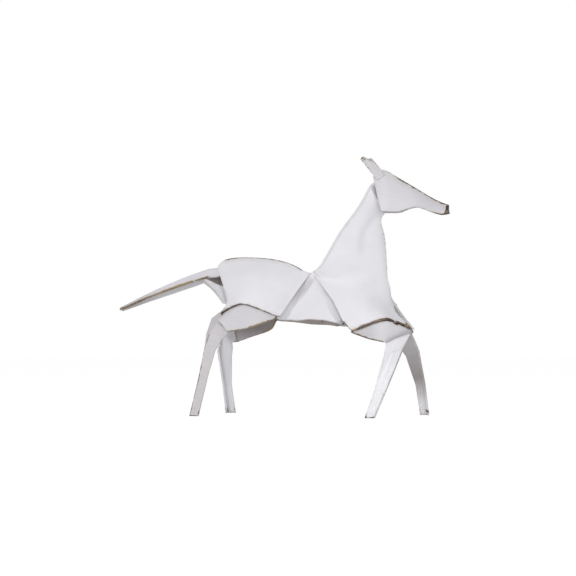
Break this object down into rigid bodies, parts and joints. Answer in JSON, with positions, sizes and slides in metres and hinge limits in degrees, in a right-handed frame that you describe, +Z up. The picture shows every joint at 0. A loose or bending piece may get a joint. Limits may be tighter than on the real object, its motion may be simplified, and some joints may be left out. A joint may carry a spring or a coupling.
{
  "type": "horse figurine",
  "caption": "Walking horse ornament folded from brass sheet and painted white, with tapering channel legs, a swept-back tail and brass rubbed through on the edges.",
  "frame": {"origin": "centre of the footprint of the whole horse, on the ground plane the four feet stand on", "axes": "+X from tail to muzzle, +Y towards the horse's left side, +Z up"},
  "size_m": [0.2716, 0.0654, 0.2047],
  "materials": {
    "white_enamel": "satin cool white enamel on brass sheet, rubbed through to brown brass along the edges"
  },
  "bodies": {
    "root": {"head_shell": "white_enamel", "right_ear": "white_enamel", "left_ear": "white_enamel", "right_neck_shoulder": "white_enamel", "left_neck_shoulder": "white_enamel", "right_rump_panel": "white_enamel", "left_rump_panel": "white_enamel", "right_belly_gusset": "white_enamel", "left_belly_gusset": "white_enamel", "tail": "white_enamel", "dock_gusset": "white_enamel", "right_hind_thigh": "white_enamel", "left_hind_thigh": "white_enamel", "right_hind_leg": "white_enamel", "left_hind_leg": "white_enamel", "right_fore_arm": "white_enamel", "left_fore_arm": "white_enamel", "right_fore_leg": "white_enamel", "left_fore_leg": "white_enamel"}
  },
  "joints": []
}
